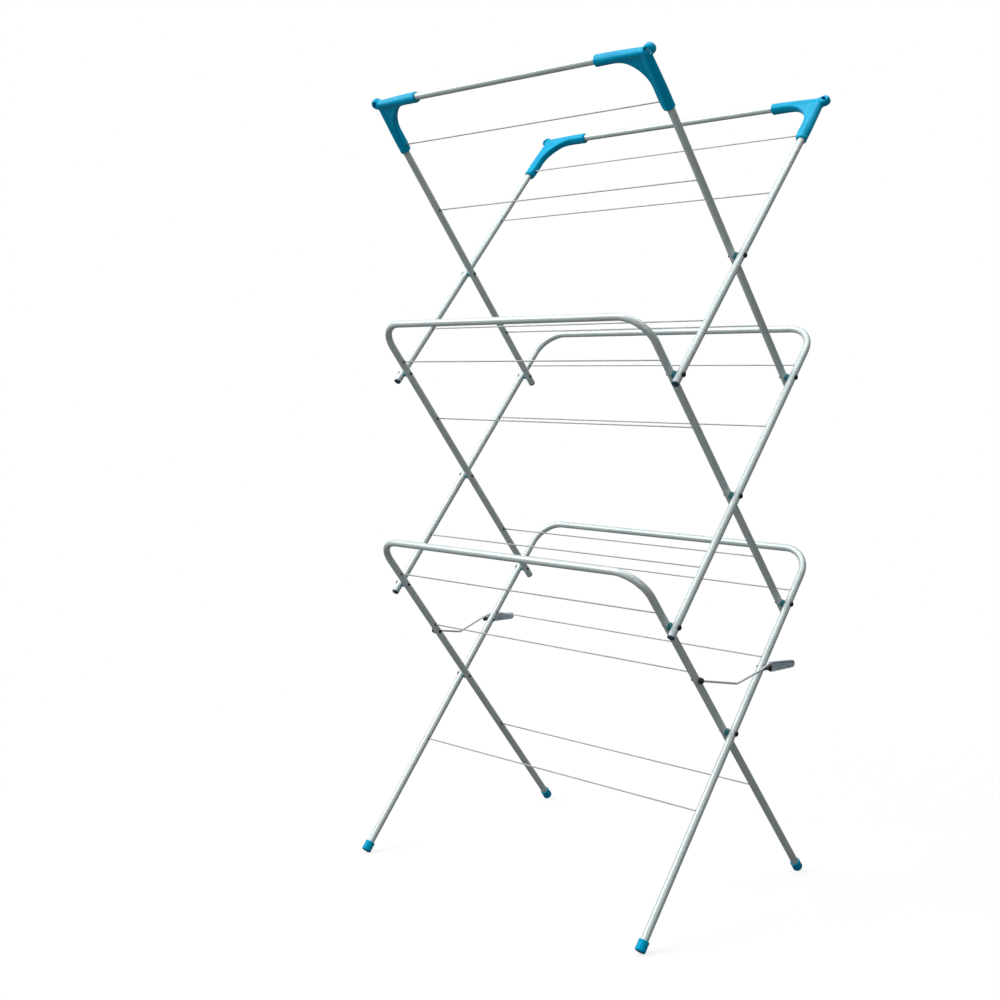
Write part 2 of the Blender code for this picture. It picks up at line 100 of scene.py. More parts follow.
def place(tier, face, x, v, w=0.0):
    """Point of a frame's plane: crossing + x along X + v up the leg + w along X cross up."""
    out = np.cross(X, UP[face])
    x, v, w = np.broadcast_arrays(*(np.asarray(value, float) for value in (x, v, w)))
    return CROSSING[tier] + x[..., None] * X + v[..., None] * UP[face] + w[..., None] * out


def reach_of(tier, face, node):
    """How far up its frame's legs a node's centre lies from the crossing pivot."""
    return float((on_axis(node) - CROSSING[tier]) @ UP[face])


# --- shapes as arrays -------------------------------------------------------------
def rounded(points, radius, steps=8):
    """Polyline whose inner corners are arcs tangent to both sides.

    A corner that turns by 2h loses radius * tan(h) of each side, and the arc's centre
    lies radius / cos(h) from it along the inner bisector.
    """
    points = np.asarray(points, float)
    radii = np.broadcast_to(radius, (len(points),))
    runs = [points[:1]]
    for before, corner, after, wanted in zip(points, points[1:], points[2:], radii[1:]):
        along, away = unit(corner - before), unit(after - corner)
        half = 0.5 * math.acos(np.clip(along @ away, -1.0, 1.0))
        if half < 0.002 or wanted <= 0.0:
            runs.append(corner[None])
            continue
        shortest = min(np.linalg.norm(corner - before), np.linalg.norm(after - corner))
        cut = min(wanted * math.tan(half), 0.49 * shortest)
        arc_r = cut / math.tan(half)
        centre = corner + unit(away - along) * arc_r / math.cos(half)
        start = unit(corner - along * cut - centre)
        turn = np.linspace(0.0, 2.0 * half, steps + 1)[:, None]
        runs.append(centre + arc_r * (np.cos(turn) * start + np.sin(turn) * along))
    runs.append(points[-1:])
    return np.concatenate(runs)


def circle(sides):
    """Points (cos t, sin t) at even steps of t, once round."""
    turn = np.arange(sides) * 2.0 * np.pi / sides
    return np.stack((np.cos(turn), np.sin(turn)), axis=-1)


def sweep(path, normal, radii, sides=40, oval=None):
    """Round section carried along a path: path + r (cos t side + sin t normal).

    side is normal x tangent. oval, one number per point, narrows the section along side.
    """
    step = np.diff(path, axis=0)
    step /= np.linalg.norm(step, axis=1, keepdims=True)
    tangent = np.vstack((step[:1], step[:-1] + step[1:], step[-1:]))
    tangent /= np.linalg.norm(tangent, axis=1, keepdims=True)
    side = np.cross(normal, tangent)
    side /= np.linalg.norm(side, axis=1, keepdims=True)
    over = np.cross(tangent, side)
    narrow = np.ones(len(path)) if oval is None else oval
    radii = np.broadcast_to(radii, (len(path),))
    ring = circle(sides)
    wide = (radii * narrow)[:, None, None] * ring[None, :, :1] * side[:, None]
    high = radii[:, None, None] * ring[None, :, 1:] * over[:, None]
    return path[:, None] + wide + high


def turned(profile, origin, axis, sides=40):
    """Surface of revolution: origin + s axis + r (cos t across + sin t other)."""
    profile = np.asarray(profile, float)
    across = unit(np.cross(axis, Z if abs(axis[2]) < 0.9 else X))
    other = np.cross(axis, across)
    ring = circle(sides)
    spin = ring[:, :1] * across + ring[:, 1:] * other
    return origin + profile[:, 0, None, None] * axis + profile[:, 1, None, None] * spin


def quads(rows, columns, loop):
    """Corner indices of a grid's faces; columns always close, rows close when loop is set."""
    row = np.arange(rows if loop else rows - 1)[:, None]
    column = np.arange(columns)[None, :]
    after, beside = (row + 1) % rows, (column + 1) % columns
    corners = (row * columns + column, row * columns + beside,
               after * columns + beside, after * columns + column)
    return np.stack(corners, axis=-1).reshape(-1, 4)


def soft_max(a, b, blend):
    """The larger of two fields, with the crease between them rounded to about blend."""
    mix = np.maximum(blend - np.abs(a - b), 0.0) / blend
    return np.maximum(a, b) + 0.25 * blend * mix * mix


def soft_min(a, b, blend):
    """The smaller of two fields, with the crease rounded in the same way."""
    return -soft_max(-a, -b, blend)


def skin(field, low, high, pitch):
    """Surface where field is zero, as quads.

    Each grid cell that the surface crosses gets one vertex, at the mean of the crossings on
    its edges, which then slides along the field's gradient onto the surface. Each grid edge
    that the surface crosses gives one quad, between the four cells round it.
    """
    spans = [np.arange(a, b + pitch, pitch) for a, b in zip(low, high)]
    grid = np.stack(np.meshgrid(*spans, indexing="ij"), axis=-1)
    value = field(grid)
    inside = value < 0.0
    count = np.array(value.shape) - 1
    total = np.zeros((*count, 3))
    hits = np.zeros(count)
    faces = []
    for axis in range(3):
        ahead = np.roll(np.eye(3, dtype=int)[0], axis)
        size = np.array(value.shape) - ahead
        first = tuple(slice(0, n) for n in size)
        second = tuple(slice(a, a + n) for a, n in zip(ahead, size))
        crossed = inside[first] != inside[second]
        share = value[first] / np.where(crossed, value[first] - value[second], 1.0)
        points = grid[first] + share[..., None] * pitch * ahead
        one, two = (axis + 1) % 3, (axis + 2) % 3
        for shift_one in (0, 1):
            for shift_two in (0, 1):
                cut = [slice(None)] * 3
                cut[one] = slice(shift_one, shift_one + count[one])
                cut[two] = slice(shift_two, shift_two + count[two])
                total += np.where(crossed[tuple(cut)][..., None], points[tuple(cut)], 0.0)
                hits += crossed[tuple(cut)]
        edge = np.argwhere(crossed)
        edge = edge[(edge[:, one] > 0) & (edge[:, two] > 0)]
        leaving = inside[tuple(edge.T)]
        ring = np.array(((0, 0), (1, 0), (1, 1), (0, 1)))
        cells = np.repeat(edge[:, None], 4, axis=1)
        cells[..., one] -= ring[:, 0]
        cells[..., two] -= ring[:, 1]
        cells[~leaving] = cells[~leaving][:, ::-1]
        faces.append(np.ravel_multi_index(tuple(np.moveaxis(cells, -1, 0)), count))
    used, faces = np.unique(np.concatenate(faces), return_inverse=True)
    points = (total / np.maximum(hits, 1.0)[..., None]).reshape(-1, 3)[used]
    step = 0.05 * pitch
    for _ in range(3):
        slope = np.stack([(field(points + step * axis) - field(points - step * axis))
                          for axis in np.eye(3)], axis=-1) / (2.0 * step)
        pull = field(points) / np.maximum((slope * slope).sum(axis=-1), 0.2)
        points = points - np.clip(pull, -pitch, pitch)[:, None] * slope
    return points, faces.reshape(-1, 4)


def add_piece(name, points, faces, finish, body, slot, stands_for=(), uv=None, crease=38.0):
    """A closed mesh in the CAD frame that rides on a body."""
    mesh = bpy.data.meshes.new(name)
    mesh.from_pydata((points * MM).tolist(), [], faces.tolist())
    if uv is not None:
        layer = mesh.uv_layers.new(name="along")
        layer.data.foreach_set("uv", (uv * MM).reshape(-1, 2)[faces.ravel()].ravel())
    work = bmesh.new()
    work.from_mesh(mesh)
    bmesh.ops.remove_doubles(work, verts=work.verts, dist=1e-7)
    bmesh.ops.dissolve_degenerate(work, edges=work.edges, dist=1e-8)
    bmesh.ops.recalc_face_normals(work, faces=work.faces)
    work.to_mesh(mesh)
    work.free()
    mesh.materials.append(finish)
    mesh.shade_smooth()
    mesh.set_sharp_from_angle(angle=math.radians(crease))
    piece = bpy.data.objects.new(name, mesh)
    bpy.context.collection.objects.link(piece)
    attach(piece, body)
    if stands_for:
        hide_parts(*stands_for)


def add_grid(name, grid, finish, body, slot, loop=False, **more):
    """A grid of points (rows, columns, 3) as a piece.

    Its UV holds millimetres: u round a tube of TUBE_R, v along the first column.
    """
    rows, columns = grid.shape[:2]
    along = np.cumsum(np.linalg.norm(np.diff(grid[:, 0], axis=0, prepend=grid[:1, 0]), axis=1))
    around = np.linspace(0.0, 2.0 * np.pi * TUBE_R, columns)
    uv = np.stack(np.broadcast_arrays(around[None, :], along[:, None]), axis=-1)
    add_piece(name, grid.reshape(-1, 3), quads(rows, columns, loop), finish, body, slot,
              uv=uv, **more)


def add_rod(name, path, radius, sides, finish, body, slot, stands_for):
    """A solid round rod along a path, each end closed by a ring shrunk to a point."""
    skin_rows = sweep(path, Z, radius, sides)
    ends = [np.repeat(path[i][None, None], sides, axis=1) for i in (0, -1)]
    rows = np.concatenate((ends[0], skin_rows, ends[1]))
    add_grid(name, rows, finish, body, slot, stands_for=stands_for)


# --- finishes -----------------------------------------------------------------------
def linear(code):
    """sRGB hex such as "#0590be" as linear red, green, blue and alpha 1."""
    values = [int(code[i:i + 2], 16) / 255.0 for i in (1, 3, 5)]
    return [v / 12.92 if v <= 0.04045 else ((v + 0.055) / 1.055) ** 2.4 for v in values] + [1.0]


def add_node(tree, kind, settings=None, **inputs):
    """A shader node with its settings; an input is a value, or another node's output."""
    node = tree.nodes.new(kind)
    for key, value in (settings or {}).items():
        setattr(node, key, value)
    for key, value in inputs.items():
        socket = node.inputs[int(key[1:]) if key[0] == "_" else key.replace("_", " ")]
        if isinstance(value, bpy.types.NodeSocket):
            tree.links.new(value, socket)
        else:
            socket.default_value = value
    return node


def per_metre(size_mm):
    """Noise scale whose features are that size."""
    return 1.0 / (size_mm * MM)


def make_finish(name, light, dark, patch_mm, grain_mm, grain_depth_mm, rough, metallic=0.0,
                stretch=None, ior=None, sheen="#ffffff"):
    """Colour drifting between two tones, roughness drifting with it, and a fine relief.

    patch_mm is the size of the tonal patches and grain_mm that of the relief. With stretch,
    the pattern follows the piece's UV, drawn out by that factor along its length. sheen tints
    the reflection seen straight on.
    """
    material = bpy.data.materials.new(name)
    material.use_nodes = True
    tree = material.node_tree
    shader = tree.nodes["Principled BSDF"]
    if stretch is None:
        where = add_node(tree, "ShaderNodeTexCoord").outputs["Object"]
    else:
        uv = add_node(tree, "ShaderNodeUVMap", {"uv_map": "along"}).outputs["UV"]
        where = add_node(tree, "ShaderNodeMapping", Vector=uv,
                         Scale=(1.0, 1.0 / stretch, 1.0)).outputs["Vector"]
    patches = add_node(tree, "ShaderNodeTexNoise", Vector=where, Scale=per_metre(patch_mm),
                       Detail=4.0, Roughness=0.55)
    tone = add_node(tree, "ShaderNodeMapRange", {"interpolation_type": "SMOOTHSTEP"},
                    Value=patches.outputs["Fac"], From_Min=0.32, From_Max=0.68)
    colour = add_node(tree, "ShaderNodeMix", {"data_type": "RGBA"}, _0=tone.outputs["Result"],
                      _6=linear(dark), _7=linear(light))
    tree.links.new(colour.outputs[2], shader.inputs["Base Color"])
    gloss = add_node(tree, "ShaderNodeMapRange", Value=patches.outputs["Fac"],
                     From_Min=0.3, From_Max=0.7, To_Min=rough[1], To_Max=rough[0])
    tree.links.new(gloss.outputs["Result"], shader.inputs["Roughness"])
    grain = add_node(tree, "ShaderNodeTexNoise", Vector=where, Scale=per_metre(grain_mm),
                     Detail=2.0)
    relief = add_node(tree, "ShaderNodeBump", Height=grain.outputs["Fac"], Strength=1.0,
                      Distance=grain_depth_mm * MM)
    tree.links.new(relief.outputs["Normal"], shader.inputs["Normal"])
    shader.inputs["Metallic"].default_value = metallic
    shader.inputs["Specular Tint"].default_value = linear(sheen)
    if ior is not None:
        shader.inputs["IOR"].default_value = ior
    material.diffuse_color = linear(light)
    return material


# Epoxy powder coat in silver-grey: the fired powder flows into a faint orange peel 1.8 mm
# across, and the satin sheen and the tone vary slowly along the tube.
POWDER_COAT = make_finish("silver_grey_powder_coat", "#c9d3d3", "#bfcaca", 60.0, 1.8, 0.001,
                          (0.36, 0.42), metallic=0.25, ior=1.5)
# Grey dipped coating on the wires: thinner and a little duller than the tubes' coat.
WIRE_COAT = make_finish("grey_dipped_wire_coat", "#b2b3b3", "#a3a4a4", 25.0, 0.8, 0.003,
                        (0.36, 0.46), ior=1.5)
# Injection-moulded polypropylene in turquoise: satin gloss, a faint eroded grain, drawn at
# 1.4 mm so that it shows, and a flow shade; its sheen keeps the plastic's own colour.
TURQUOISE = make_finish("turquoise_polypropylene", "#009ac2", "#0092ba", 30.0, 1.4, 0.001,
                        (0.36, 0.44), ior=1.45, sheen="#20c0e8")
# Dark teal acetal of the loose spacers, slick enough for the tubes to turn on.
TEAL = make_finish("dark_teal_acetal", "#23808a", "#1b6f7a", 6.0, 0.5, 0.005, (0.26, 0.36),
                   ior=1.48)
# Polyethylene push-in plugs in a deep petrol blue, waxy and a little uneven.
PETROL = make_finish("petrol_blue_polyethylene", "#0a4054", "#08364a", 6.0, 0.6, 0.006,
                     (0.30, 0.42), ior=1.51)
# Black nylon of the rivet caps, pegs and stay bushes: glossy, with sharp highlights. The black
# rings where the wires enter the legs share it, and their black is partly painted shade of the
# holes.
BLACK = make_finish("black_nylon", "#121415", "#0c0e0f", 5.0, 0.5, 0.003, (0.12, 0.20), ior=1.53)
# Cold-drawn steel rod under a clear lacquer, so only partly metallic: fine die lines,
# 60 times as long as they are wide, run along it.
DRAWN_STEEL = make_finish("drawn_steel_rod", "#e2e6ea", "#d3d8dc", 1.2, 0.25, 0.001,
                          (0.38, 0.46), metallic=0.45, stretch=60.0)
# Zinc plating of the washers: bright, slightly blue, with a soft crystalline patch.
ZINC = make_finish("zinc_plated_steel", "#b9bec2", "#a2a8ad", 2.5, 0.4, 0.003, (0.26, 0.38),
                   metallic=1.0)
# Blue-grey stoving enamel on the pressed handles: even, with a satin sheen.
HANDLE_ENAMEL = make_finish("blue_grey_stoving_enamel", "#c6d3dc", "#bccad4", 14.0, 1.4, 0.001,
                            (0.34, 0.42), metallic=0.1, ior=1.5)


# --- tubes and wires ----------------------------------------------------------------
def tube_rows(path, normal, oval=None, sides=48):
    """Hollow tube as one closed run of rings: skin from end to end, then the bore back.

    The edges of the two mouths are eased. oval narrows the skin, as sweep says.
    """
    ease = 0.25
    first, last = unit(path[1] - path[0]), unit(path[-1] - path[-2])
    body = np.vstack((path[:1], path[:1] + ease * first, path[1:-1],
                      path[-1:] - ease * last, path[-1:]))
    outer = np.full(len(body), TUBE_R)
    outer[[0, -1]] -= ease
    if oval is not None:
        oval = np.concatenate((oval[:1], oval[:1], oval[1:-1], oval[-1:], oval[-1:]))
    bore = TUBE_R - TUBE_WALL
    outside = sweep(body, normal, outer, sides, oval)
    inside = sweep(path, normal, bore, sides)[::-1]
    return np.concatenate((outside, inside))


def u_frame(tier, face, foot):
    """One bent tube: up the left leg, a quarter bend, along the bar and down again.

    The section narrows by up to one part in twenty in the bends, as bent tube does.
    """
    half = HALF[face]
    corners = ((-half, foot), (-half, BAR_REACH), (half, BAR_REACH), (half, foot))
    flat = rounded(corners, BEND_R, steps=28)
    path = place(tier, face, flat[:, 0], flat[:, 1])
    bend = np.clip((flat[:, 1] - (BAR_REACH - BEND_R)) / BEND_R, 0.0, 1.0)
    in_bend = np.clip((np.abs(flat[:, 0]) - (half - BEND_R)) / BEND_R, 0.0, 1.0)
    oval = 1.0 - 0.05 * np.sqrt(2.0 * bend * in_bend)
    body = "%s_%s" % (tier, face)
    add_grid(body + "_tube", tube_rows(path, np.cross(X, UP[face]), oval), POWDER_COAT, body,
             "tube_coating", loop=True, stands_for=(body + "_frame",))


def top_tubes(face):
    """Straight bar and legs of the top tier, socketed into its corner pieces."""
    body = "upper_" + face
    out = np.cross(X, UP[face])
    bar = reach_of("upper", face, "upper_%s_bar" % face)
    reach = HALF[face] - SOCKET
    path = place("upper", face, np.linspace(-reach, reach, 9), bar)
    add_grid(body + "_bar_tube", tube_rows(path, out), POWDER_COAT, body, "tube_coating",
             loop=True, stands_for=(body + "_bar",))
    for label, side in SIDES:
        steps = np.linspace(-PIVOT_REACH - STUB, bar - SOCKET, 9)
        path = place("upper", face, side * HALF[face], steps)
        add_grid("%s_leg_tube_%s" % (body, label), tube_rows(path, out), POWDER_COAT, body,
                 "tube_coating", loop=True, stands_for=("%s_leg_%s" % (body, label),))


def ring_and_hole_shade(name, origin, side, body, out, sunk, flange_r, ease):
    """Black ring round a wire where it enters a leg, out mm proud of it and sunk mm deep; its
    black is partly a ring and partly painted shade of the hole.
    """
    profile = rounded(((out, WIRE_HOLE_R), (-sunk, WIRE_HOLE_R), (-sunk, flange_r),
                       (0.3, flange_r), (out, 1.9), (out, WIRE_HOLE_R)),
                      (0, 0.3, ease, ease, ease - 0.2, 0), steps=4)
    add_grid(name, turned(profile, origin, -side * X, 20), BLACK, body, "rivet_black", loop=True)


def wires(tier, face):
    """Three wires across a frame, and a black ring, partly painted shade of the hole, at each
    place where one meets a leg.
    """
    body = "%s_%s" % (tier, face)
    reach = HALF[face] - WIRE_SET_IN
    for label in ("upper", "middle", "lower"):
        node = "%s_%s_wire" % (body, label)
        v = reach_of(tier, face, node)
        path = place(tier, face, np.linspace(-reach, reach, 25), v)
        add_rod("%s_%s_rail" % (body, label), path, WIRE_R, 16, WIRE_COAT, body, "wire_coating",
                (node,))
        if tier == "upper" and label == "upper":
            continue          # it ends in the corner pieces, whose black rings differ
        for end, side in SIDES:
            # black ring at the wire's hole; its black is partly painted shade of the hole
            origin = place(tier, face, side * (HALF[face] - TUBE_R), v)
            ring_and_hole_shade("%s_%s_eyelet_%s" % (body, label, end), origin, side, body,
                   out=0.9, sunk=1.1, flange_r=2.9, ease=0.5)


def end_plug(tier, face, label, side):
    """Push-in plug: a barrel inside the tube and a domed head that covers the mouth."""
    depth, dome = 10.0, 4.0
    head = rounded(((-depth, 0.0), (-depth, 5.0), (0.1, 5.4), (0.1, TUBE_R + 0.05),
                    (dome - 1.4, TUBE_R - 0.25), (dome - 0.3, 3.6), (dome, 0.0)),
                   (0, 0.8, 0, 0.4, 1.4, 2.0, 0), steps=6)
    mouth = place(tier, face, side * HALF[face], -PIVOT_REACH - STUB)
    add_grid("%s_%s_end_plug_%s" % (tier, face, label), turned(head, mouth, -UP[face], 40),
             PETROL, "%s_%s" % (tier, face), "corner_plastic")


def foot_cap(face, label, side):
    """Turned cup with a beaded mouth; what would dip under the floor is pressed flat on it.

    Its CAD node is named for the side of the rack it stands on, across from the frame's bar.
    """
    body = "lower_" + face
    bore = TUBE_R + 0.15
    top, lowest = FOOT_LENGTH, 0.05
    cup = rounded(((FOOT_FLOOR, 0.0), (FOOT_FLOOR, bore), (top, bore), (top, FOOT_R - 0.5),
                   (top - 2.2, FOOT_R), (top - 3.0, FOOT_R - 0.45), (2.0, FOOT_R - 0.15),
                   (0.0, FOOT_R - 1.2), (0.0, 0.0)),
                  (0, 0, 0.6, 0.9, 0.8, 0.8, 2.2, 1.6, 0), steps=7)
    bottom = place("lower", face, side * HALF[face], -FOOT_REACH)
    fine = np.concatenate([np.linspace(a, b, 4, endpoint=False)
                           for a, b in zip(cup[:-1], cup[1:])] + [cup[-1:]])
    grid = turned(fine, bottom, UP[face], 56)
    grid[..., 2] = np.maximum(grid[..., 2], lowest)
    where = "back" if face == "front" else "front"
    add_grid("%s_foot_cap_%s" % (body, label), grid, TURQUOISE, body, "corner_plastic",
             stands_for=("foot_%s_%s" % (where, label),))


# --- corner pieces --------------------------------------------------------------------
SLEEVE_R = 8.7
BAR_SLEEVE, LEG_SLEEVE = 97.0, 100.0    # corner to the mouth of each sleeve
FILLET_R = 57.0                         # the web's inner arc
FLANGE = 11.6                           # leg centre line to the web's edge below the arc
BAR_FLANGE = 7.1                        # bar centre line to the web's edge beyond the arc
WEB_HALF = 7.0
LUG_A, LUG_B, LUG_R = -7.0, -1.2, 9.6   # lug's centre from the corner, and its radius
SLOT_LENGTH, SLOT_WIDTH = 13.6, 6.0     # hanger slot
WIRE_DROP = 86.5                        # bar to the upper wire
TAPER = (0.9426, 0.334)                 # square to the web's edge below that wire
SKIN_PITCH = 0.75


def sleeve_field(along, cross, w, length):
    """Round sleeve that swells from the elbow to its mouth, where its rim is rolled."""
    radius = np.interp(along, (-4.0, 20.0, 48.0, 74.0), (5.4, 6.7, 7.9, SLEEVE_R))
    lip = 0.35 * np.exp(-((along - length + 3.4) / 2.2) ** 2)
    round_wall = np.hypot(cross, w) - radius - lip
    return soft_max(soft_max(round_wall, along - length, 3.0), -along - 2.0, 4.0)


def corner_field(a, b, w):
    """Elbow in its own axes: a along the bar, b down the leg, both from the corner, w across.

    Two sleeves and a web with a concave quarter-circle edge melt into each other; the web's
    cheeks are dished a little inside its rim; a lug with a slot stands out at the corner; the
    tubes' sockets are bored last.
    """
    sleeves = soft_min(sleeve_field(a, b, w, BAR_SLEEVE), sleeve_field(b, a, w, LEG_SLEEVE), 5.0)
    ca, cb = FLANGE + FILLET_R, BAR_FLANGE + FILLET_R
    arc = FILLET_R - np.hypot(a - ca, b - cb)
    quarter = np.maximum(np.maximum(a - ca, b - cb), arc)
    down_leg = np.maximum(a - FLANGE, b - LEG_SLEEVE + 3.0)
    taper = TAPER[0] * (a - FLANGE) + TAPER[1] * (b - WIRE_DROP - 2.0)
    down_leg = soft_max(down_leg, taper, 3.0)
    along_bar = np.maximum(b - BAR_FLANGE, a - BAR_SLEEVE + 3.0)
    edge = np.minimum(np.minimum(quarter, down_leg), along_bar)
    edge = soft_max(edge, np.maximum(-a, -b) - 0.5, 3.0)
    ramp = 0.5 * np.clip((-edge - 2.6) / 3.4, 0.0, 1.0)
    dish = ramp * ramp * (3.0 - 2.0 * ramp)        # half a smooth step, 0.5 mm at its deepest
    web = soft_max(edge, np.abs(w) - WEB_HALF + dish, 4.2)
    body = soft_min(sleeves, web, 7.0)

    lug = soft_max(np.hypot(a - LUG_A, b - LUG_B) - LUG_R, np.abs(w) - WEB_HALF, 5.2)
    body = soft_min(body, lug, 3.0)
    across = ((a - LUG_A) - (b - LUG_B)) / math.sqrt(2.0)
    outward = ((a - LUG_A) + (b - LUG_B)) / math.sqrt(2.0)
    straight = 0.5 * (SLOT_LENGTH - SLOT_WIDTH)
    slot = np.hypot(np.maximum(np.abs(across) - straight, 0.0), outward) - 0.5 * SLOT_WIDTH
    body = soft_max(body, -slot, 1.6)

    bore = TUBE_R + 0.2
    for along, cross, length in ((a, b, BAR_SLEEVE), (b, a, LEG_SLEEVE)):
        flare = 0.5 * np.clip((along - length + 1.2) / 1.2, 0.0, 1.0)
        socket = np.maximum(np.hypot(cross, w) - bore - flare, SOCKET - 1.0 - along)
        body = soft_max(body, -socket, 0.6)
    return body


def corner_piece(face, label, side):
    """One elbow, skinned in its own axes and laid in its frame's plane, with the black ring where
    its wire enters, partly painted shade of the hole.
    """
    body = "upper_" + face
    bar = reach_of("upper", face, body + "_bar")
    points, faces = skin(lambda p: corner_field(p[..., 0], p[..., 1], p[..., 2]),
                         (-19.0, -14.0, -10.5), (BAR_SLEEVE + 1.6, LEG_SLEEVE + 1.6, 10.5),
                         SKIN_PITCH)
    a, b, w = points.T
    world = place("upper", face, side * (HALF[face] - a), bar - b, w)
    add_piece("%s_corner_elbow_%s" % (body, label), world, faces, TURQUOISE, body,
              "corner_plastic", stands_for=("%s_corner_%s" % (body, label),), crease=60.0)
    # black ring at the upper wire's hole; its black is partly painted shade of the hole
    origin = place("upper", face, side * (HALF[face] - FLANGE), bar - WIRE_DROP)
    ring_and_hole_shade("%s_corner_eyelet_%s" % (body, label), origin, side, body,
           out=0.7, sunk=1.5, flange_r=2.6, ease=0.4)


# --- pivots -----------------------------------------------------------------------------
RIVET_R = 2.0
SPACER_R = 4.6
SPACER_FLANGE_R = 6.1
PEG_R = 3.8
PEG_FLANGE_R = 5.3
FINE_PITCH = 0.42


def rivet(node, back_body, front_body, label, side):
    """Black domed cap, shank and inner tail, and the loose spacer between the two tubes.

    The spacer's inner side is saddled over the front leg, so it moves with that leg.
    """
    name = node[:-len("_rivet_" + label)]
    pivot = on_axis(node)
    axis = side * X
    outside = HALF["back"] + TUBE_R
    inside = HALF["front"] - TUBE_R
    cap = rounded(((outside - 1.0, 0.0), (outside - 1.0, 3.4), (outside - 0.2, 4.7),
                   (outside + 0.7, 4.75), (outside + 2.2, 3.9), (outside + 3.3, 2.0),
                   (outside + 3.55, 0.0)), (0, 0.4, 0.3, 0.4, 1.8, 2.0, 0), steps=6)
    add_grid("%s_cap_%s" % (name, label), turned(cap, pivot, axis, 40), BLACK, back_body,
             "rivet_black", stands_for=(node,))
    tail = rounded(((inside - 2.6, 0.0), (inside - 2.6, 1.7), (inside - 0.5, 2.75),
                    (inside + 0.6, 2.6), (inside + 0.6, RIVET_R), (outside - 1.2, RIVET_R),
                    (outside - 1.2, 0.0)), (0, 0.7, 0.9, 0, 0, 0, 0), steps=5)
    add_grid("%s_shank_%s" % (name, label), turned(tail, pivot, axis, 24), BLACK, back_body,
             "rivet_black")

    up = UP["front"]
    leg, far = HALF["front"], HALF["back"] - TUBE_R

    def spacer(p):
        """Round flange and barrel, less the front leg's cylinder and the rivet's bore."""
        x, y, z = p[..., 0], p[..., 1] - pivot[1], p[..., 2] - pivot[2]
        r = np.hypot(y, z)
        off_leg = y * up[2] - z * up[1]
        flange = soft_max(r - SPACER_FLANGE_R, x - leg - TUBE_R - 1.6, 0.8)
        barrel = soft_max(r - SPACER_R, x - far + 0.1, 0.8)
        solid = soft_min(flange, barrel, 1.0)
        solid = np.maximum(solid, leg + 2.4 - x)
        saddle = np.hypot(x - leg, off_leg) - TUBE_R - 0.04
        return soft_max(np.maximum(solid, -saddle), RIVET_R + 0.15 - r, 0.4)

    room = 7.0
    points, faces = skin(spacer, (leg + 1.0, pivot[1] - room, pivot[2] - room),
                         (far + 1.0, pivot[1] + room, pivot[2] + room), FINE_PITCH)
    add_piece("%s_spacer_%s" % (name, label), points * (side, 1.0, 1.0), faces, TEAL,
              front_body, "rivet_black", crease=50.0)


def lock_peg(label, side):
    """Flanged peg on the back leg with a deep groove for the stay."""
    node = "lock_peg_" + label
    axis = side * X
    outside = HALF["back"] + TUBE_R
    inside = HALF["back"] - TUBE_R
    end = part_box(node)[1][0] / MM if side > 0 else -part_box(node)[0][0] / MM
    profile = rounded(((inside - 2.2, 0.0), (inside - 2.2, 1.8), (inside - 0.3, 2.7),
                       (inside + 0.5, RIVET_R), (outside - 0.4, RIVET_R),
                       (outside - 0.4, PEG_FLANGE_R), (outside + 1.9, PEG_FLANGE_R),
                       (outside + 2.5, PEG_R), (end - 2.6, PEG_R), (end - 2.0, PEG_FLANGE_R),
                       (end - 0.5, PEG_FLANGE_R - 0.2), (end, 3.0), (end - 0.3, 0.0)),
                      (0, 0.6, 0.5, 0, 0, 0.4, 0.5, 1.0, 1.0, 0.5, 0.6, 1.2, 0), steps=6)
    add_grid("stay_peg_" + label, turned(profile, on_axis(node), axis, 40), BLACK, "lower_back",
             "rivet_black", stands_for=(node,))


# --- stays --------------------------------------------------------------------------------
STAY_R = 1.9
STAY_X0, STAY_X1, STAY_X2 = 307.9, 322.0, 330.0   # rod at its pivot, at its bend, on the peg
BUSH_R, BUSH_PITCH = 5.0, 0.4
WASHER_R, WASHER = 5.9, 0.8
HANDLE_X0, HANDLE_X1 = 326.6, 333.8
HANDLE_WALL = 1.2
HANDLE_ROOT, HANDLE_SHOULDER = 6.2, 73.6          # from the peg: its root, and its round tip
HANDLE_TOP, HANDLE_LOW = (10.0, 3.8), (-7.0, -8.8)   # edges at the root and at the shoulder
HANDLE_TIP_R, HANDLE_TIP_Z = 6.3, -2.5
BOSS_PLACE, BOSS_R = 66.5, 3.4


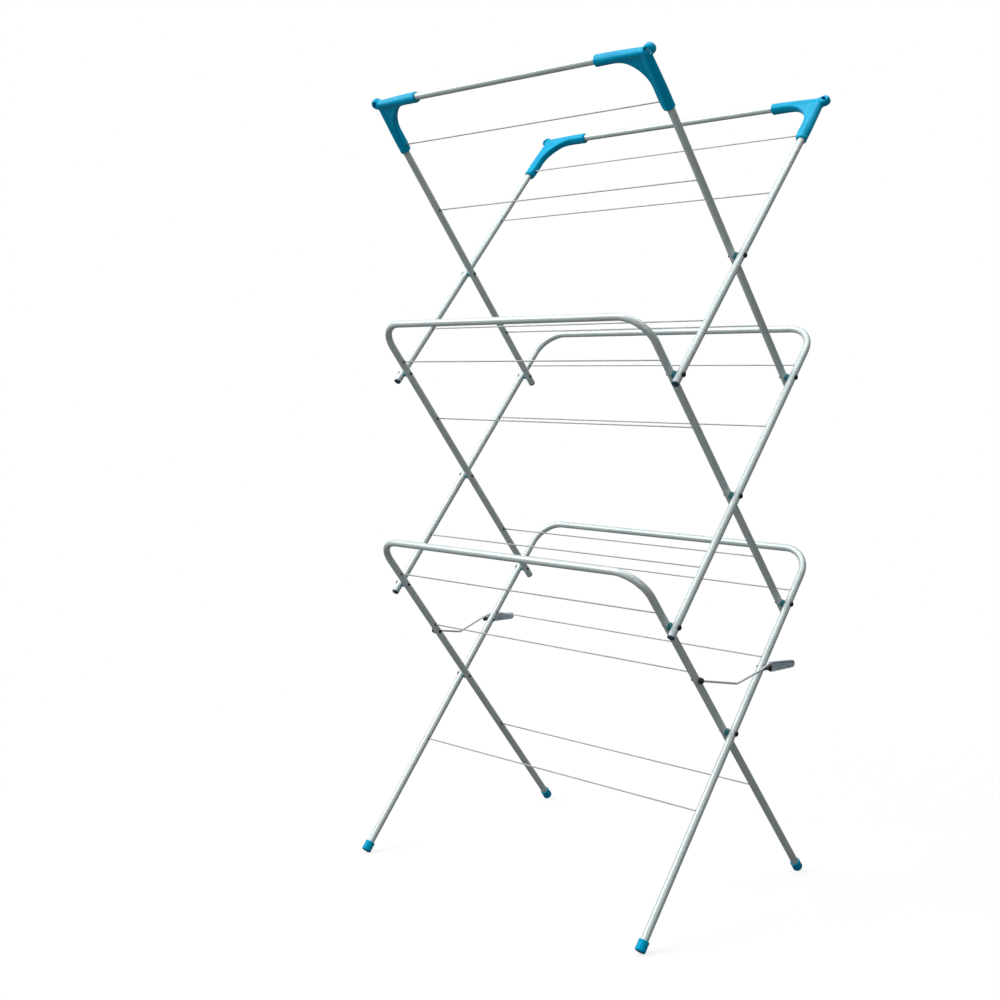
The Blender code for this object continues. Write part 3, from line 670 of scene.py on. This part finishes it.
def stay(label, side):
    """Bent rod from its pivot on the front leg over the peg into the pressed handle."""
    body = "stay_" + label
    pivot = on_axis("stay_bush_" + label)
    reach = middle("lock_peg_" + label)[1] - pivot[1]
    leg_in = HALF["front"] - TUBE_R
    leg_out = HALF["front"] + TUBE_R
    over = PEG_R + STAY_R + 0.3
    corners = ((leg_in - 2.5, 0.0, 0.0), (STAY_X0, 0.0, 0.0), (STAY_X1, 84.0, -14.9),
               (STAY_X2, reach - 22.0, 0.0), (STAY_X2, reach - 2.0, over - 0.1),
               (STAY_X2, reach + 4.0, over + 0.4), (STAY_X2, reach + 10.0, over - 0.6),
               (STAY_X2, reach + 58.0, 0.2))
    path = rounded(corners, (0, 2.6, 16.0, 30.0, 14.0, 8.0, 14.0, 0), steps=10)
    add_rod("stay_wire_" + label, pivot + path * (side, 1.0, 1.0), STAY_R, 28, DRAWN_STEEL,
            body, "stay_steel", ("stay_rod_" + label,))

    start = leg_out + 0.25
    seat = start + WASHER
    washer = rounded(((start, 2.4), (start, WASHER_R), (seat, WASHER_R), (seat, 2.4),
                      (start, 2.4)), (0, 0.25, 0.25, 0.2, 0), steps=4)
    add_grid("stay_washer_" + label, turned(washer, pivot, side * X, 40), ZINC, body,
             "stay_steel", loop=True)
    pivot_bush(label, side, body, pivot, start, STAY_X0 + STAY_R + 1.6)
    cap = rounded(((leg_in - 2.7, 0.0), (leg_in - 2.7, 2.6), (leg_in - 0.1, 3.6),
                   (leg_in + 0.4, 3.4), (leg_in + 0.4, 0.0)), (0, 0.9, 0.6, 0.2, 0), steps=5)
    add_grid("stay_push_cap_" + label, turned(cap, pivot, side * X, 28), BLACK, body,
             "rivet_black")
    handle(label, side, body, pivot, reach)


def pivot_bush(label, side, body, pivot, start, end):
    """Round cap on the washer, dished on its face, with a notch that lets the rod out."""
    seat = start + WASHER
    centre, half = 0.5 * (seat + end), 0.5 * (end - seat)

    def bush(p):
        """Disc with rounded edges, less a dish of revolution and the rod's slot."""
        x, y, z = p[..., 0], p[..., 1] - pivot[1], p[..., 2] - pivot[2]
        r = np.hypot(y, z)
        shell = soft_max(r - BUSH_R, np.abs(x - centre) - half, 1.6)
        dish = np.hypot(r, x - end - 2.4) - 3.9
        shell = soft_max(shell, -dish, 0.8)
        notch = np.maximum(np.hypot(x - STAY_X0, z + 0.18 * y) - STAY_R - 0.1, -y)
        return soft_max(shell, -notch, 0.4)

    room = 6.5
    points, faces = skin(bush, (start, pivot[1] - room, pivot[2] - room),
                         (end + 1.5, pivot[1] + room, pivot[2] + room), BUSH_PITCH)
    add_piece("stay_pivot_bush_" + label, points * (side, 1.0, 1.0), faces, BLACK, body,
              "rivet_black", stands_for=("stay_bush_" + label,), crease=50.0)


def handle(label, side, body, pivot, reach):
    """Channel open outwards: a tapering tray with a round tip, rolled rim and open root.

    The outline is two slanting sides and a circle; wall and floor are it drawn in by the
    wall's thickness, and a round boss near the tip takes the rod's end.
    """
    root, shoulder = reach + HANDLE_ROOT, reach + HANDLE_SHOULDER
    centre, half = 0.5 * (HANDLE_X0 + HANDLE_X1), 0.5 * (HANDLE_X1 - HANDLE_X0)

    def outline(y, z):
        """Two edges that slant in a straight line with y, then a circle past the shoulder."""
        share = (y - root) / (shoulder - root)
        top, low = (edge[0] + (edge[1] - edge[0]) * share for edge in (HANDLE_TOP, HANDLE_LOW))
        sides = np.maximum(z - top, low - z)
        tip = np.hypot(np.maximum(y - shoulder, 0.0), z - HANDLE_TIP_Z) - HANDLE_TIP_R
        return np.where(y > shoulder, tip, sides)

    def field(p):
        """Slab cut to the outline, less the tray, joined to the boss's cylinder."""
        x, y, z = p[..., 0], p[..., 1] - pivot[1], p[..., 2] - pivot[2]
        rim = outline(y, z)
        solid = soft_max(rim, root - y, 0.6)
        solid = soft_max(solid, np.abs(x - centre) - half, 0.9)
        tray = soft_max(rim + HANDLE_WALL, HANDLE_X0 + HANDLE_WALL - x, 1.2)
        solid = soft_max(solid, -tray, 0.5)
        boss = np.hypot(y - reach - BOSS_PLACE, z - HANDLE_TIP_Z + 0.2) - BOSS_R
        boss = soft_max(boss, x - STAY_X2 - 1.2, 0.8)
        boss = np.maximum(boss, HANDLE_X0 + 0.5 - x)
        return soft_min(solid, boss, 1.0)

    far_end = pivot[1] + shoulder + HANDLE_TIP_R + 1.6
    points, faces = skin(field, (HANDLE_X0 - 1.0, pivot[1] + root - 1.5, pivot[2] - 12.0),
                         (HANDLE_X1 + 1.0, far_end, pivot[2] + 12.5), FINE_PITCH)
    add_piece("stay_channel_handle_" + label, points * (side, 1.0, 1.0), faces, HANDLE_ENAMEL,
              body, "handle_coating", stands_for=("stay_handle_" + label,), crease=50.0)


# --- the rack -------------------------------------------------------------------------------
def build_rack():
    """Wires first, then each frame's tubes and mouldings, then each side's pivots and stay."""
    for tier in TIERS:
        for face in FACES:
            wires(tier, face)
    for face in FACES:
        u_frame("lower", face, -FOOT_REACH + FOOT_FLOOR + 0.3)
        u_frame("middle", face, -PIVOT_REACH - STUB)
        top_tubes(face)
        for label, side in SIDES:
            corner_piece(face, label, side)
            foot_cap(face, label, side)
            for tier in TIERS[1:]:
                end_plug(tier, face, label, side)
    joints = (("lower_cross", "lower_back", "lower_front"),
              ("back_joint_low", "lower_back", "middle_front"),
              ("front_joint_low", "middle_back", "lower_front"),
              ("middle_cross", "middle_back", "middle_front"),
              ("back_joint_high", "middle_back", "upper_front"),
              ("front_joint_high", "upper_back", "middle_front"),
              ("upper_cross", "upper_back", "upper_front"))
    for label, side in SIDES:
        for joint, back_body, front_body in joints:
            rivet("%s_rivet_%s" % (joint, label), back_body, front_body, label, side)
        lock_peg(label, side)
        stay(label, side)


# --- studio ---------------------------------------------------------------------------------
CAMERA_PLACE = (1.5303, -1.8736, 0.568)   # metres; its height is from the lowest crossing
CAMERA_YAW, CAMERA_PITCH, CAMERA_ROLL = 43.05, -1.99, 0.70
LENS, SENSOR = 48.19, 36.0
SHIFT_Y = -0.0664


def add_camera():
    """Perspective camera: yaw from +Y, pitch from the horizon, then roll about the view."""
    yaw, pitch, roll = (math.radians(v) for v in (CAMERA_YAW, CAMERA_PITCH, CAMERA_ROLL))
    ahead = Vector((-math.sin(yaw) * math.cos(pitch), math.cos(yaw) * math.cos(pitch),
                    math.sin(pitch)))
    right = Vector((math.cos(yaw), math.sin(yaw), 0.0))
    up = right.cross(ahead)
    turned_right = math.cos(roll) * right + math.sin(roll) * up
    turned_up = -math.sin(roll) * right + math.cos(roll) * up
    data = bpy.data.cameras.new("camera")
    camera = bpy.data.objects.new("camera", data)
    bpy.context.collection.objects.link(camera)
    matrix = Matrix((turned_right, turned_up, -ahead)).transposed().to_4x4()
    matrix.translation = Vector(CAMERA_PLACE) + Vector((0.0, 0.0, CROSSING["lower"][2] * MM))
    camera.matrix_world = matrix
    data.lens, data.sensor_width, data.shift_y = LENS, SENSOR, SHIFT_Y
    bpy.context.scene.camera = camera


def add_softbox(name, place_m, aim_m, size, power):
    """White rectangular area light at place_m, turned towards aim_m."""
    data = bpy.data.lights.new(name, "AREA")
    data.shape = "RECTANGLE"
    data.size, data.size_y = size
    data.energy = power
    light = bpy.data.objects.new(name, data)
    bpy.context.collection.objects.link(light)
    light.location = place_m
    light.rotation_euler = (Vector(aim_m) - Vector(place_m)).to_track_quat("-Z", "Y").to_euler()


def add_studio():
    """White sweep: a pale floor that fades to white, and surroundings bright on the upper left."""
    scene = bpy.context.scene
    scene.view_settings.view_transform = "Standard"
    world = bpy.data.worlds.new("studio")
    scene.world = world
    world.use_nodes = True
    tree = world.node_tree
    tree.nodes.clear()
    where = add_node(tree, "ShaderNodeTexCoord").outputs["Generated"]
    lit_side = add_node(tree, "ShaderNodeVectorMath", {"operation": "DOT_PRODUCT"}, _0=where,
                        _1=(-0.62, -0.50, 0.60))
    sky = add_node(tree, "ShaderNodeMapRange", Value=lit_side.outputs["Value"], From_Min=-0.8,
                   From_Max=0.9, To_Min=0.04, To_Max=0.60)
    seen = add_node(tree, "ShaderNodeLightPath").outputs["Is Camera Ray"]
    strength = add_node(tree, "ShaderNodeMix", _0=seen, _2=sky.outputs["Result"], _3=1.0)
    light = add_node(tree, "ShaderNodeBackground", Color=(1.0, 1.0, 1.0, 1.0),
                     Strength=strength.outputs[0])
    add_node(tree, "ShaderNodeOutputWorld", Surface=light.outputs[0])

    mesh = bpy.data.meshes.new("floor")
    span = 40.0
    mesh.from_pydata([(-span, -span, 0.0), (span, -span, 0.0), (span, span, 0.0),
                      (-span, span, 0.0)], [], [(0, 1, 2, 3)])
    floor = bpy.data.objects.new("floor", mesh)
    bpy.context.collection.objects.link(floor)
    material = bpy.data.materials.new("matt_white_floor")
    material.use_nodes = True
    tree = material.node_tree
    tree.nodes.clear()
    where = add_node(tree, "ShaderNodeTexCoord").outputs["Object"]
    far = add_node(tree, "ShaderNodeVectorMath", {"operation": "LENGTH"}, _0=where)
    fade = add_node(tree, "ShaderNodeMapRange", {"interpolation_type": "SMOOTHSTEP"},
                    Value=far.outputs["Value"], From_Min=0.35, From_Max=1.3, To_Min=0.8,
                    To_Max=1.0)
    seen = add_node(tree, "ShaderNodeLightPath").outputs["Is Camera Ray"]
    share = add_node(tree, "ShaderNodeMath", {"operation": "MULTIPLY"}, _0=seen,
                     _1=fade.outputs["Result"])
    tone = add_node(tree, "ShaderNodeMix", {"data_type": "RGBA"}, _0=seen,
                    _6=(0.15, 0.16, 0.16, 1.0), _7=(0.92, 0.92, 0.92, 1.0))
    matt = add_node(tree, "ShaderNodeBsdfDiffuse", Color=tone.outputs[2])
    white = add_node(tree, "ShaderNodeEmission", Color=(1.0, 1.0, 1.0, 1.0), Strength=1.0)
    mix = add_node(tree, "ShaderNodeMixShader", _0=share.outputs["Value"],
                   _1=matt.outputs["BSDF"], _2=white.outputs["Emission"])
    add_node(tree, "ShaderNodeOutputMaterial", Surface=mix.outputs["Shader"])
    mesh.materials.append(material)

    aim = (0.0, 0.0, 0.75)
    add_softbox("key", (-1.8, -2.2, 3.3), aim, (2.6, 2.6), 135.0)
    add_softbox("overhead", (0.2, 0.3, 3.3), aim, (2.2, 2.2), 40.0)
    add_softbox("catch_light", (2.3, -1.3, 1.5), aim, (0.4, 0.4), 7.0)


build_rack()
add_camera()
add_studio()
